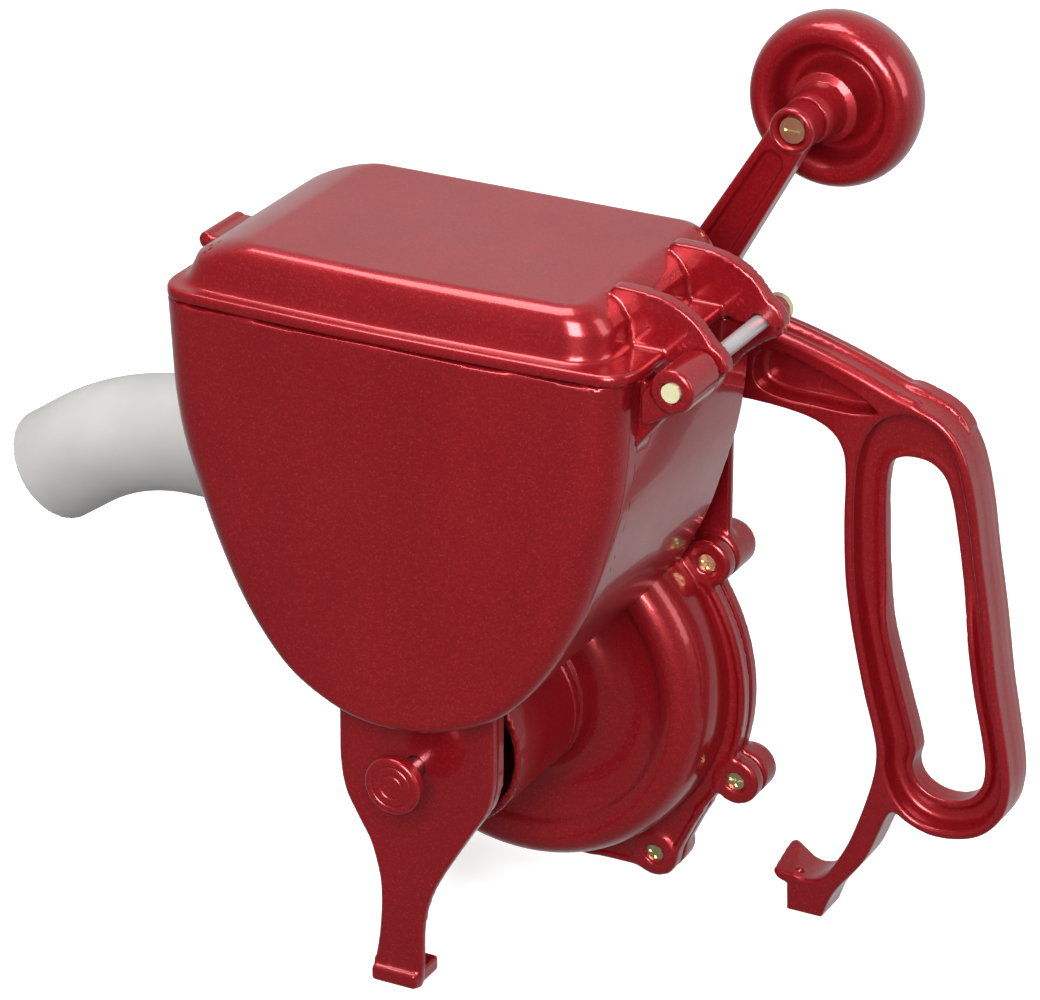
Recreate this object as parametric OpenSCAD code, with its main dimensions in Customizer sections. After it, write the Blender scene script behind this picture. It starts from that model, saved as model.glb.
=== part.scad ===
// Hand-cranked rotary duster: a lidded powder hopper over a centrifugal blower,
// with a swivelling deflector nozzle, a D-handle and a geared crank at the back.
// X runs along the hopper (nozzle at -X, handle at +X), Y from the front cover
// to the crank, Z up. The shapes below are drawn from the hopper's rim centre,
// and one move puts the origin under the middle of the whole object.

/* [Hopper] */
// Half width of the hopper at its rim
hop_w = 73; // [72:0.5:74]
// Depth of the hopper below its rim
hop_d = 119.5; // [119:0.5:120]
// Wall thickness of the mouldings
wall = 2.5; // [2:0.1:3]

/* [Lid] */
// Height of the lid's dome over the rim
lid_h = 18; // [15:0.5:20]
// Width of the lid's thumb tab
tab_w = 24; // [16:1:30]
// Radius of the hinge pin
pin_r = 2.38; // [2.3:0.01:2.4]

/* [Blower] */
// Outer radius of the blower flange
fl_r = 65; // [62:0.5:65]
// Outer radius of the intake snout
sn_r = 26; // [25:0.5:26]
// Number of impeller blades
blades = 8; // [5:1:10]
// Outer radius of the impeller
imp_r = 49; // [42:1:50]

/* [Nozzle] */
// Outer radius of the discharge spigot
spig_r = 16.43; // [16.42:0.01:16.44]
// Inner radius of the swivelling nozzle
noz_r = 16.5; // [16.5:0.005:16.51]
// Wall of the nozzle
noz_wall = 2; // [1.6:0.1:2.2]

/* [Drive] */
// Module of the gears
gm = 1; // [1:1:1]
// Teeth on the crank gear
z_crank = 64; // [64:1:64]
// Teeth on the countershaft gear
z_idler = 52; // [52:1:52]
// Teeth on both pinions
z_pin = 12; // [12:1:12]
// Radius of the crank shaft
csh_r = 4; // [3.98:0.01:4]
// Length of the crank from shaft to grip axle
arm_len = 113.4; // [105:0.2:113.4]
// Radius of the round crank grip
grip_r = 27; // [24:0.5:28]

/* [Handle] */
// Front face of the handle
han_y0 = 107; // [107:0.5:108]
// Back face of the handle
han_y1 = 123; // [122:0.5:127]
// Depth of the channel in the handle's front
han_ch = 7; // [4:0.5:8]

/* [Hidden] */
floor_z = -210.5;
off = [16.12, -92, 210.5];
hop_y = 94;          // back of the hopper
cov_y = 18;          // parting plane of front cover and hopper body
F = [3.5, -136];     // fan axis in XZ
K = [6.5, -66.5];    // crank axis in XZ
FL = [4.5, -138];    // blower flange centre in XZ
P = [86.5, 0.5];     // hinge pin axis in XZ
T = [97, -88.5];     // discharge axis in YZ
c1 = gm * (z_crank + z_pin) / 2;
c2 = gm * (z_idler + z_pin) / 2;
kf = norm(F - K);
aK = atan2(F[1] - K[1], F[0] - K[0]);
bK = acos((c1 * c1 + kf * kf - c2 * c2) / (2 * c1 * kf));
I = K + c1 * [cos(aK + bK), sin(aK + bK)];   // countershaft axis in XZ
t1 = atan2(I[1] - K[1], I[0] - K[0]);
t2 = atan2(F[1] - I[1], F[0] - I[0]);
arm_a = 59.6;
E = K + arm_len * [cos(arm_a), sin(arm_a)];  // grip axle in XZ
lugs = [[56.6, -94.1], [67.3, -164.6], [40.6, -195.9], [-31.6, -195.9], [-58.3, -164.6], [-61, -119.3]];
cov_screws = [for (a = [35, 145]) K + 39 * [cos(a), sin(a)], for (a = [-38, 212]) I + 33 * [cos(a), sin(a)]];
red = [0.55, 0.07, 0.11];
grey = [0.77, 0.75, 0.73];
steel = [0.7, 0.7, 0.72];
zinc = [0.85, 0.82, 0.62];

module place() translate(off) children();
// draws a 2D shape of X and Z between two Y planes
module xz(y0, y1) translate([0, y1, 0]) rotate([90, 0, 0]) linear_extrude(y1 - y0) children();
// a cylinder along Y at a point p of X and Z
module cy(p, r, y0, y1, fn = 64) translate([p[0], y1, p[1]]) rotate([90, 0, 0]) cylinder(r = r, h = y1 - y0, $fn = fn);
// a cylinder along X on the discharge axis
module cx(r, x0, x1, fn = 72) translate([x0, T[0], T[1]]) rotate([0, 90, 0]) cylinder(r = r, h = x1 - x0, $fn = fn);
// a shape turned round the Y axis at p, drawn as radius and Y
module turn(p, fn = 96) translate([p[0], 0, p[1]]) rotate([-90, 0, 0]) rotate_extrude($fn = fn) children();

// half of the U of the hopper: a superellipse of exponent 2.2
function uz(a, d, n = 40) = [for (i = [0:n]) let (t = 180 * i / n, c = cos(t), s = sin(t))
    [sign(c) * a * pow(abs(c), 0.909), -0.4 - (d - 0.4) * pow(abs(s), 0.909)]];

// involute gear outline with its first tooth centred at angle ph
function inv(a) = tan(a) * 180 / PI - a;
function gear(z, m, ph, pa = 25, bl = 0.24) = let (
    r = z * m / 2, rb = r * cos(pa), ra = r + 0.95 * m, rf = r - 1.2 * m, r0 = max(rb, rf),
    h = 90 / z - bl / (2 * r) * 180 / PI, k = inv(pa),
    q = [for (j = [0:3]) let (p = r0 + (ra - r0) * j / 3) [p, h + k - inv(acos(min(1, rb / p)))]])
    [for (i = [0:z - 1]) let (c = ph + 360 * i / z) each concat(
        [[rf * cos(c - q[0][1]), rf * sin(c - q[0][1])]],
        [for (j = [0:3]) [q[j][0] * cos(c - q[j][1]), q[j][0] * sin(c - q[j][1])]],
        [for (j = [3:-1:0]) [q[j][0] * cos(c + q[j][1]), q[j][0] * sin(c + q[j][1])]],
        [[rf * cos(c + q[0][1]), rf * sin(c + q[0][1])]])];

module u_solid(a, d, y0, y1) xz(y0, y1) polygon(uz(a, d));

// ---- fixed mouldings -------------------------------------------------------
module front_cover() color(red) place() difference() {
    union() {
        difference() {
            hull() {
                u_solid(hop_w - 7, hop_d - 5, 0, 0.5);
                u_solid(hop_w - 2.5, hop_d - 1.5, 3, 3.5);
                u_solid(hop_w, hop_d, 9, cov_y);
            }
            hull() {
                u_solid(hop_w - 11, hop_d - 9, wall, 3);
                u_solid(hop_w - wall, hop_d - wall, 9, cov_y + 1);
            }
            translate([-80, wall, -4.5]) cube([160, 20, 6]);
            translate([-80, -1, -0.4]) cube([160, 30, 6]);
        }
        // top edge of the front wall
        translate([-hop_w + 9, 1, -8]) cube([2 * hop_w - 18, wall, 7.6]);
        difference() {
            leg(13, 16);
            u_solid(hop_w, hop_d, 9, cov_y + 1);
        }
        difference() {
            leg(16, 21);
            translate([2, 0, 0]) leg_in();
            u_solid(hop_w, hop_d, 9, cov_y + 4);
        }
        cy(F, 7, 15, 22);
        translate([-12, 11, floor_z]) cube([15.5, 16, 5]);
    }
    cy(F, 3.06, 10, 24);
}
module leg(y0, y1) xz(y0, y1) polygon([[-22, -112], [-22, -143], [-18, -153], [-13, -163],
    [-10, -171], [-9, -178], [-9, -185], [-9.5, -191], [-10.2, -198], [-11.5, -205], [-11.5, floor_z],
    [3.5, floor_z], [4, -205], [5.5, -199], [5.5, -193], [6.5, -186], [8.5, -179], [11.5, -172],
    [15.5, -164], [21, -156], [27, -147], [29, -138], [29, -112]]);
module leg_in() xz(15, 22) polygon([[-21.5, -100], [-21.5, -142], [-13, -160], [-8.5, -172],
    [-8, -200], [0, -200], [1, -186], [6, -173], [12, -162], [22, -147], [24.5, -137], [24.5, -100]]);

module hopper_body() color(red) place() difference() {
    union() {
        difference() {
            u_solid(hop_w - 0.6, hop_d, cov_y, hop_y);
            u_solid(hop_w - 0.6 - wall, hop_d - wall, cov_y - 1, hop_y - wall);
            translate([-hop_w + 3.1, cov_y - 1, -20]) cube([2 * hop_w - 6.2, hop_y - wall - cov_y + 1, 30]);
        }
        // lugs that carry the hinge pin
        for (y = [[8, 26], [70, 76]]) {
            cy(P, 6.5, y[0], y[1]);
            xz(y[0] < cov_y ? cov_y : y[0], y[1]) polygon([[70, -22], [70, -6], [76.5, -1.5], [81, 3], [88, -5.6], [84, -8]]);
        }
        xz(10, 18) polygon([[76, -12], [76.5, -1.5], [81, 3], [88, -5.6], [84, -8]]);
    }
    cy(P, pin_r + 0.03, 0, 100);
    cy(P, 2.9, 0, 9.5);
    // the blower's shell and duct pass through the back of the hopper
    blower_solid(66);
    cx(19, -58, 0);
    cx(spig_r, -90, -50);
    // feed slot over the intake
    translate([F[0] - 7, 34, -125]) cube([14, 9, 12]);
    cy(K, 6, hop_y - 4, hop_y + 1);
}

module blower_solid(y0) turn(F) polygon([[0, y0], [sn_r, y0], [sn_r, 71], [27.5, 76.5], [31, 79.6], [36, 80.6], [43, 80.2],
    [47, 78], [50, 75.6], [54, 75.2], [57.5, 77.5], [60, 82], [61, 90], [61, 98], [0, 98]]);
module blower_void() turn(F) polygon([[0, 60], [23.5, 60], [23.5, 72.5], [26, 79.5], [30.5, 82.6], [36, 83.3], [44, 83],
    [48.5, 80.6], [51.3, 78.1], [53.8, 77.8], [56, 79.6], [57.8, 83.5], [58.2, 92], [57.5, 97], [57.5, 102], [0, 102]]);
module flange_2d() union() {
    intersection() {
        translate(FL) circle(r = fl_r, $fn = 128);
        translate([-80, -202]) square([160, 160]);
    }
    polygon([[-36, -202], [45, -202], [56, -178], [0, -150], [-47, -178]]);
}
// inside of the duct that leaves the top of the blower
module duct_void() {
    cx(spig_r, -60, -40);
    cx(14, -41, -31);
    intersection() {
        cx(14, -32, -2);
        translate([-40, 60, -120]) cube([60, 44, 60]);
    }
}
module blower_housing() color(red) place() difference() {
    union() {
        difference() {
            blower_solid(26);
            u_solid(hop_w - 0.6, hop_d, cov_y, 66);
        }
        xz(97, 101.6) flange_2d();
        for (p = lugs) cy(p, 7.5, 96, 101.6, 48);
        intersection() {
            cx(19, -58, 0);
            translate([-60, 70, -120]) cube([61, 31.6, 60]);
        }
    }
    blower_void();
    cy(F, 23.5, 20, 72);
    duct_void();
    for (p = lugs) {
        cy(p, 3.8, 90, 99.5, 32);
        cy(p, 1.85, 90, 110, 32);
    }
}

module casing_gasket() color([0.1, 0.1, 0.1]) place() difference() {
    xz(101.6, 102.4) intersection() {
        translate(F) circle(r = 61.5, $fn = 96);
        translate(FL) circle(r = fl_r - 0.5, $fn = 96);
    }
    cy(F, 58, 100, 104);
    cx(19.2, -90, 0);
}

module chamber_2d(o = 0) hull() {
    translate(K) circle(r = 37 + o, $fn = 64);
    translate(I) circle(r = 30.5 + o, $fn = 64);
    translate(F) circle(r = 16 + o, $fn = 48);
}
module rear_casing() color(red) place() difference() {
    union() {
        xz(102.4, 107) flange_2d();
        for (p = lugs) cy(p, 7.5, 102.4, 111, 48);
        cy(lugs[0], 7.5, 110, 116, 48);
        xz(104, 107) back_plate_2d();
        // rim of the back plate
        xz(98, 104) difference() {
            back_plate_2d();
            polygon([[-28, -140], [-28, -31], [-12, -16.5], [70, -16.5], [70, -140]]);
            translate(FL) circle(r = fl_r + 0.3, $fn = 96);
            for (p = lugs) translate(p) circle(r = 7.8, $fn = 48);
            translate([-60, T[1] - 19.3]) square([61, 38.6]);
        }
        difference() {
            xz(107, 123) chamber_2d();
            xz(107, 124) chamber_2d(-2.5);
        }
        cy(K, 10, 104, 109);
        cy(I, 6, 106, 109);
        cy(F, 8.5, 100.8, 108.9);
        for (p = cov_screws) cy(p, 4.5, 106, 123, 32);
        intersection() {
            cx(19, -58, -28);
            translate([-60, 102.4, -120]) cube([60, 20, 60]);
        }
        intersection() {
            cx(19, -58, 0);
            translate([-60, 102.4, -120]) cube([60, 4.6, 60]);
        }
        // left rear foot
        translate([-48, 104, floor_z]) cube([15, 14, 18]);
        translate([-46, 104, floor_z + 10]) cube([12, 6, 16]);
    }
    difference() {
        cy(F, 57.5, 100, 104);
        cy(F, 8.5, 99, 105);
    }
    duct_void();
    for (p = lugs) cy(p, 1.75, 100, 109.5, 32);
    for (p = cov_screws) cy(p, 1.5, 112, 124, 32);
    cy(K, 6, 100, 110);
    cy(I, 2.5, 105, 112);
    cy(F, 5, 100, 110);
    for (p = han_scr) cy(p, 2.05, 100, 110, 32);
}
module back_plate_2d() polygon([[-31, -110], [-31, -30], [-14, -14], [57, -14], [60.3, -19], [60.3, -96], [50, -110]]);
han_scr = [[46, -26], [56, -36]];

module gear_cover() color(red) place() difference() {
    union() {
        xz(123, 126) chamber_2d();
        cy(K, 10, 125, 131);
        cy(F, 8.5, 118, 124);
        cy(F, 8.5, 125, 127.5);
        cy(I, 5, 122, 124);
    }
    cy(K, 6, 120, 132);
    cy(F, 5, 117, 125.5);
    cy(I, 2.5, 120, 124.5);
    for (p = cov_screws) cy(p, 2, 120, 130, 32);
}

// outer outline of the handle in X and Z, with its foot
function han_out() = [[43.5, -20], [60, -20], [73, -22], [88, -26], [100, -30], [110, -33.8], [118, -36.1],
    [123.8, -38.4], [128.8, -42.6], [132.3, -48], [134.8, -55], [137.2, -66], [139.3, -80], [142.4, -98], [145.6, -120],
    [148.4, -134], [150.3, -144], [151.1, -152], [149.9, -160.5], [146.5, -166.2], [141.7, -170.3], [134.3, -173],
    [126.2, -173.4], [118.5, -170.8], [114.5, -168], [111.8, -172], [108.7, -179.5],
    [105.5, -187], [101, -193], [98, -197.5], [94.5, -203], [92, floor_z], [80.5, floor_z], [80.2, -201.4], [76.6, -200.2],
    [75.7, -196.4], [76.4, -193.6], [79.6, -194.6], [82.2, -196.6], [85.4, -198.2], [89.5, -197.8], [93.6, -194.8], [96.5, -189.6], [100, -183],
    [105, -168], [108, -155], [108.3, -149], [107, -143.5], [104, -132.5], [101, -120], [98.5, -108],
    [96.5, -95], [95.5, -76], [95.5, -62], [96.5, -54], [93.5, -50], [87, -46.5], [71, -44], [43.5, -44]];
function han_slot() = [[107.9, -57], [111, -55.3], [115, -54.8], [119.8, -55.5], [124.1, -58.8], [126.4, -63],
    [129.3, -78], [132.3, -97], [134.4, -109.7], [137.1, -125.5], [140.6, -141.3], [141.6, -149.5], [140.9, -154.5],
    [138, -159.2], [132.3, -161.9], [125.9, -161.7], [120.6, -158.5], [118.8, -153.8], [119.3, -148.2], [117.8, -141.5],
    [115.6, -133.7], [111.9, -121.3], [108.6, -108.8], [107.2, -94.4], [106, -80], [105.9, -60]];
// inside of the handle's rim
function han_in() = [[98.6, -58], [101, -50.5], [106.2, -42], [114, -38.9], [120.6, -40.2], [125.8, -43.4],
    [129.8, -49.8], [132, -57], [134.3, -67], [136.6, -81], [139.7, -99], [142.9, -120.5], [145.6, -134.7], [147.6, -144.7],
    [148.3, -152], [147.1, -159.3], [144.3, -164], [140.5, -167.4], [133.6, -170], [126.4, -170.4], [119.5, -168],
    [114.5, -163], [111.5, -155.5], [111.2, -148.5], [110, -143], [107, -132], [104, -119.5], [101.5, -107.5],
    [99.5, -94.5], [98.5, -76]];
function han_tri() = [[66, -27], [84, -30], [100, -37], [106, -40.5], [88, -41.5], [66, -40]];
module handle() color(red) place() difference() {
    xz(han_y0, han_y1) polygon(han_out());
    xz(han_y0 - 1, han_y1 + 1) polygon(han_slot());
    // channels in both faces of the grip, which leave a web between them
    xz(han_y0 - 1, han_y0 + han_ch) polygon(han_in());
    xz(han_y0 + han_ch + 4, han_y1 + 1) polygon(han_in());
    // triangular recesses in both faces of the arm
    xz(han_y0 - 1, han_y0 + han_ch) polygon(han_tri());
    xz(han_y0 + han_ch + 4, han_y1 + 1) polygon(han_tri());
    for (p = han_scr) cy(p, 1.75, 100, 119, 32);
}

module handle_screws() color(steel) place() for (p = han_scr) {
    cy(p, 4, 101, 104, 32);
    cy(p, 1.75, 103, 118, 32);
}
module housing_screws() color(zinc) place() for (p = lugs) difference() {
    union() {
        cy(p, 3.4, 97.5, 99.5, 32);
        cy(p, 1.75, 99, 109, 32);
    }
    translate([p[0] - 2.2, 97, p[1] - 0.4]) cube([4.4, 1.2, 0.8]);
    translate([p[0] - 0.4, 97, p[1] - 2.2]) cube([0.8, 1.2, 4.4]);
}
module gear_cover_screws() color(zinc) place() for (p = cov_screws) difference() {
    union() {
        cy(p, 3.2, 126, 128, 32);
        cy(p, 1.5, 113, 127, 32);
    }
    translate([p[0] - 2, 127.2, p[1] - 0.4]) cube([4, 1.2, 0.8]);
    translate([p[0] - 0.4, 127.2, p[1] - 2]) cube([0.8, 1.2, 4]);
}
module hinge_pin() color(steel) place() {
    cy(P, pin_r, 8, 77.5);
    cy(P, 2.8, 7.6, 9.2);
}
module hinge_pin_cap() color(zinc) place() difference() {
    cy(P, 4.4, 76, 78.2);
    cy(P, pin_r, 70, 77.5);
}
module discharge_tube() color(grey) place() difference() {
    cx(spig_r, -117, -40);
    cx(14, -118, -39);
}
module idler_shaft() color(steel) place() cy(I, 2.5, 105, 124.5);
module crank_bushes() color([0.6, 0.42, 0.2]) place() difference() {
    union() {
        cy(K, 6, 103, 109);
        cy(K, 6, 123, 131);
    }
    cy(K, csh_r + 0.06, 100, 132);
}
module shaft_seal() color([0.15, 0.15, 0.15]) place() difference() {
    union() {
        cy(K, 6, 90.5, 95.5);
        cy(K, 7, 94, 95.5);
    }
    cy(K, csh_r + 0.06, 88, 97);
}
module fan_bushes() color([0.6, 0.42, 0.2]) place() difference() {
    union() {
        cy(F, 5, 101, 108.9);
        cy(F, 5, 118, 125.5);
    }
    cy(F, 3.06, 100, 125);
}

// ---- lid -------------------------------------------------------------------
module rrect(x0, x1, y0, y1, r) polygon([for (q = [0:3], j = [0:6]) let (a = 90 * q + 15 * j)
    [(q == 0 || q == 3 ? x1 - r : x0 + r) + r * cos(a), (q < 2 ? y1 - r : y0 + r) + r * sin(a)]]);
module slab(x0, x1, y0, y1, r, z0, h) translate([0, 0, z0]) linear_extrude(h) rrect(x0, x1, y0, y1, r);
module lid() color(red) place() difference() {
    union() {
        slab(-75.5, 75.5, 0, 94, 14, 0, 3.7);
        hull() {
            slab(-70, 65, 4.7, 91, 11, 3.6, 0.4);
            slab(-66.5, 64.4, 6, 90, 11, 11, 0.4);
            slab(-52, 60, 8, 88, 9, lid_h - 1, 1);
        }
        // thumb tab
        translate([-83, 51 - tab_w / 2, 2]) cube([16, tab_w, 3.5]);
        for (y = [27, 64]) xz(y, y + 5) polygon([[58, 17.5], [59, 20], [66, 19.9], [73, 19.2], [80, 17], [85, 13.5],
            [88, 9.5], [90.5, 6], [92, 2], [92.4, -1], [91, -4.5], [87.5, -6.4], [84, -5.9], [81, -3.5],
            [79.5, 0.4], [62, 0.8], [58, 3]]);
    }
    hull() {
        slab(-67.5, 62.5, 7.2, 88.5, 9, -1, 1);
        slab(-64, 61.9, 8.5, 87.5, 9, 10, 0.4);
        slab(-50.5, 57.5, 10.5, 85.5, 7, lid_h - 4, 1);
    }
    cy(P, pin_r + 0.07, 20, 80);
}

// ---- nozzle ----------------------------------------------------------------
noz_x = -117.5;      // where the bend starts
noz_R = 79;          // radius of the bend's centre line
noz_a = 34;          // angle of the bend
module noz_bend(r) translate([noz_x, T[0], T[1] - noz_R]) rotate([90, 0, 0]) rotate([0, 0, 90])
    rotate_extrude(angle = noz_a, $fn = 144) translate([noz_R, 0]) circle(r = r, $fn = 72);
module noz_end(r, l0, l1) translate([noz_x - noz_R * sin(noz_a), T[0], T[1] - noz_R + noz_R * cos(noz_a)])
    rotate([0, -90 - noz_a, 0]) translate([0, 0, l0]) cylinder(r = r, h = l1 - l0, $fn = 72);
module nozzle() color(grey) place() difference() {
    union() {
        cx(noz_r + noz_wall, noz_x - 0.6, -78);
        noz_bend(noz_r + noz_wall - 0.2);
        noz_end(noz_r + noz_wall, -0.6, 13.65);
    }
    noz_bend(noz_r - 0.2);
    cx(noz_r, noz_x - 0.4, -70);
    noz_end(noz_r, -0.4, 14.65);
}

// ---- feed control ----------------------------------------------------------
module feed_knob() color(red) place() difference() {
    turn(F, 64) polygon([[0, -2], [7.4, -2], [8.7, -1.2], [9, 0], [9, 1.4], [8.4, 2.4], [5.5, 2.9], [5.5, 5.4], [0, 5.4]]);
    cy(F, 3, 1.5, 6);
}
module feed_rod() color(steel) place() cy(F, 3, 1.5, 62);
module feed_valve() color(grey) place() difference() {
    union() {
        cy(F, 5.5, 40, 48);
        translate([F[0] - 1.5, 41, F[1]]) cube([3, 6, 13.5]);
        translate([F[0] - 9.5, 33, F[1] + 12.5]) cube([19, 14.5, 1.8]);
    }
    cy(F, 3, 30, 60);
}

// ---- crank -----------------------------------------------------------------
module crank_shaft() color(steel) place() cy(K, csh_r, 20, 145);
module crank_gear() color([0.9, 0.88, 0.8]) place() difference() {
    union() {
        translate([K[0], 121, K[1]]) rotate([90, 0, 0]) linear_extrude(5) polygon(gear(z_crank, gm, t1));
        cy(K, 8, 109.4, 117);
    }
    cy(K, csh_r, 100, 130);
    for (a = [0:60:300]) cy(K + 18 * [cos(a), sin(a)], 6, 110, 125, 32);
}
module agitator() color(steel) place() difference() {
    union() {
        cy(K, 7, 24, 62);
        for (a = [0, 180]) translate([K[0], 0, K[1]]) rotate([0, a, 0]) {
            translate([0, 29, 0]) cylinder(r = 1.6, h = 32, $fn = 24);
            translate([0, 57, 0]) cylinder(r = 1.6, h = 32, $fn = 24);
            translate([0, 58.6, 31]) rotate([90, 0, 0]) cylinder(r = 1.6, h = 31.2, $fn = 24);
        }
    }
    cy(K, csh_r, 20, 70);
}
module crank_ring() color(steel) place() difference() {
    cy(K, 6, 131.4, 132.4);
    cy(K, csh_r, 130, 134);
}
module crank_arm() color(red) place() difference() {
    union() {
        hull() {
            cy(K, 9.5, 134, 142, 32);
            cy(E, 6, 134, 142, 32);
        }
        cy(K, 11, 132.6, 142);
        cy(E, 7, 133, 143);
    }
    // channel in the front of the arm
    hull() {
        cy(K + 20 * [cos(arm_a), sin(arm_a)], 5.2, 130, 137, 32);
        cy(K + (arm_len - 13) * [cos(arm_a), sin(arm_a)], 3.6, 130, 137, 32);
    }
    cy(K, csh_r, 130, 150);
    cy(E, 4.4, 132, 136);
    cy(E, 2.5, 130, 150);
}
module crank_nut() color(steel) place() difference() {
    cy(K, 7, 142, 146.5, 6);
    cy(K, csh_r, 140, 145);
}
module knob_axle() color(steel) place() difference() {
    cy(E, 2.5, 136, 172);
    cy(E, 1.2, 136, 146, 32);
}
module axle_screw() color(zinc) place() difference() {
    union() {
        cy(E, 4, 134.3, 136, 32);
        cy(E, 1.2, 136, 146, 32);
    }
    translate([E[0] - 2.4, 133.5, E[1] - 0.4]) cube([4.8, 1.6, 0.8]);
}
module crank_knob() color(red) place() difference() {
    turn(E) polygon([[0, 143.4], [7.2, 143.4], [8, 147], [8.4, 156], [11, 157], [11.5, 163], [13.4, 167], [16.2, 166.6], [17.2, 163],
        [18, 160], [19.6, 157.8], [22.4, 157], [24.8, 158.4], [26.4, 161.6], [grip_r, 166], [grip_r - 0.5, 170], [24.8, 175.5],
        [20.4, 180.5], [14, 184.4], [7, 186], [0, 186]]);
    cy(E, 2.56, 140, 174);
}

// ---- countershaft and fan --------------------------------------------------
module idler_gear() color([0.9, 0.88, 0.8]) place() difference() {
    union() {
        translate([I[0], 114.4, I[1]]) rotate([90, 0, 0]) linear_extrude(4.9) polygon(gear(z_idler, gm, t2));
        cy(I, 4.6, 114, 116);
    }
    cy(I, 2.56, 100, 130);
    for (a = [30:72:330]) cy(I + 13.5 * [cos(a), sin(a)], 4.6, 108, 115.2, 32);
}
module idler_pinion() color([0.9, 0.88, 0.8]) place() difference() {
    translate([I[0], 121.4, I[1]]) rotate([90, 0, 0]) linear_extrude(5.4) polygon(gear(z_pin, gm, t1 + 180 + 180 / z_pin));
    cy(I, 2.56, 100, 130);
}
module fan_shaft() color(steel) place() cy(F, 3, 83, 125);
module fan_pinion() color(steel) place() difference() {
    union() {
        translate([F[0], 114.6, F[1]]) rotate([90, 0, 0]) linear_extrude(5.3) polygon(gear(z_pin, gm, t2 + 180 + 180 / z_pin));
        cy(F, 4.6, 114.4, 117.4);
    }
    cy(F, 3, 100, 130);
}
module impeller() color([0.2, 0.2, 0.22]) place() difference() {
    union() {
        cy(F, imp_r, 98.6, 100.2, 96);
        cy(F, 8, 84, 100.2);
        for (i = [0:blades - 1]) translate([F[0], 0, F[1]]) rotate([0, 360 * i / blades, 0])
            translate([6, 85, -0.7]) cube([imp_r - 7, 14, 1.4]);
    }
    cy(F, 3, 80, 110);
}

front_cover();
hopper_body();
blower_housing();
casing_gasket();
rear_casing();
gear_cover();
handle();
handle_screws();
housing_screws();
gear_cover_screws();
hinge_pin();
hinge_pin_cap();
discharge_tube();
idler_shaft();
crank_bushes();
shaft_seal();
fan_bushes();
lid();
nozzle();
feed_knob();
feed_rod();
feed_valve();
crank_shaft();
crank_gear();
agitator();
crank_ring();
crank_arm();
crank_nut();
knob_axle();
axle_screw();
crank_knob();
idler_gear();
idler_pinion();
fan_shaft();
fan_pinion();
impeller();
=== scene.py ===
import bpy, math
import numpy as np
from mathutils import Vector, Matrix


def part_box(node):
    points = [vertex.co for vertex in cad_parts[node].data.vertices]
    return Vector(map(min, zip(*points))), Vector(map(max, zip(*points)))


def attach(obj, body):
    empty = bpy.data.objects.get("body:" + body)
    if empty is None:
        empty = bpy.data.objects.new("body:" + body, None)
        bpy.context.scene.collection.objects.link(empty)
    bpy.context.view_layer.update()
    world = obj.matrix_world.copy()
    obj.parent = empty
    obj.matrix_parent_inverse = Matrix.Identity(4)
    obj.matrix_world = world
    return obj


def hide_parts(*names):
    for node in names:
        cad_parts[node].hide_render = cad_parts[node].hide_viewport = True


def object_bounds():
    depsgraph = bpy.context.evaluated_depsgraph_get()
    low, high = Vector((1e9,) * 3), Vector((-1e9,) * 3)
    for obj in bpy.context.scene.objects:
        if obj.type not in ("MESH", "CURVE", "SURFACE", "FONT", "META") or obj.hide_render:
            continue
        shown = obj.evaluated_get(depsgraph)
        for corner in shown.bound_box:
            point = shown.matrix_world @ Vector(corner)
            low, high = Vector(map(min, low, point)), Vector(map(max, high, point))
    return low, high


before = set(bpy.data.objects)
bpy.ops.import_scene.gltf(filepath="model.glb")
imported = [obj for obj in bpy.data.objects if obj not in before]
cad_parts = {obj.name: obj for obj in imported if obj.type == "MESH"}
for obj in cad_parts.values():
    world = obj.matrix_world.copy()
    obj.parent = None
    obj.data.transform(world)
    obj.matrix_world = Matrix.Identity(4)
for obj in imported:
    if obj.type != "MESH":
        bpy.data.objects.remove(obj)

cad_lo, cad_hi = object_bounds()

# ------------------------------------------------------------------ frame
# Shapes below are drawn in millimetres from the hopper's rim centre; the CAD boxes say where that point lies.
_pin_lo, _pin_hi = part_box("hinge_pin")
_knob_lo, _knob_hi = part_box("crank_knob")
_foot_lo, _foot_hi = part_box("front_cover")
OX = (_pin_lo.x + _pin_hi.x) / 2 * 1000 - 86.5
OY = _knob_hi.y * 1000 - 186.0
OZ = _foot_lo.z * 1000 + 210.5
OFF = np.array([OX, OY, OZ])
F = (3.5, -136.0)
K = (6.5, -66.5)
FL = (4.5, -138.0)
PN = (86.5, 0.5)
TY, TZ = 97.0, -88.5
ARM_A = math.radians(59.6)
E = (K[0] + 113.4 * math.cos(ARM_A), K[1] + 113.4 * math.sin(ARM_A))
I = (8.7488, -104.4334)
LUGS = [(56.6, -94.1), (67.3, -164.6), (40.6, -195.9), (-31.6, -195.9), (-58.3, -164.6), (-61.0, -119.3)]

FINE = 1.0

# ------------------------------------------------------------------ distance fields
def poly(pts):
    p = np.asarray(pts, float)
    q = np.roll(p, -1, 0)
    def f(x, z):
        x, z = np.broadcast_arrays(x, z)
        d = np.full(x.shape, 1e12)
        s = np.zeros(x.shape, bool)
        for (ax, az), (bx, bz) in zip(p, q):
            ex, ez = bx - ax, bz - az
            L = ex * ex + ez * ez
            if L < 1e-12:
                continue
            wx, wz = x - ax, z - az
            t = np.clip((wx * ex + wz * ez) / L, 0, 1)
            np.minimum(d, (wx - ex * t) ** 2 + (wz - ez * t) ** 2, out=d)
            c = ((az > z) != (bz > z)) & (x < ex * (z - az) / (ez if abs(ez) > 1e-12 else 1e-12) + ax)
            s ^= c
        d = np.sqrt(d)
        return np.where(s, -d, d)
    return f

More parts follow.
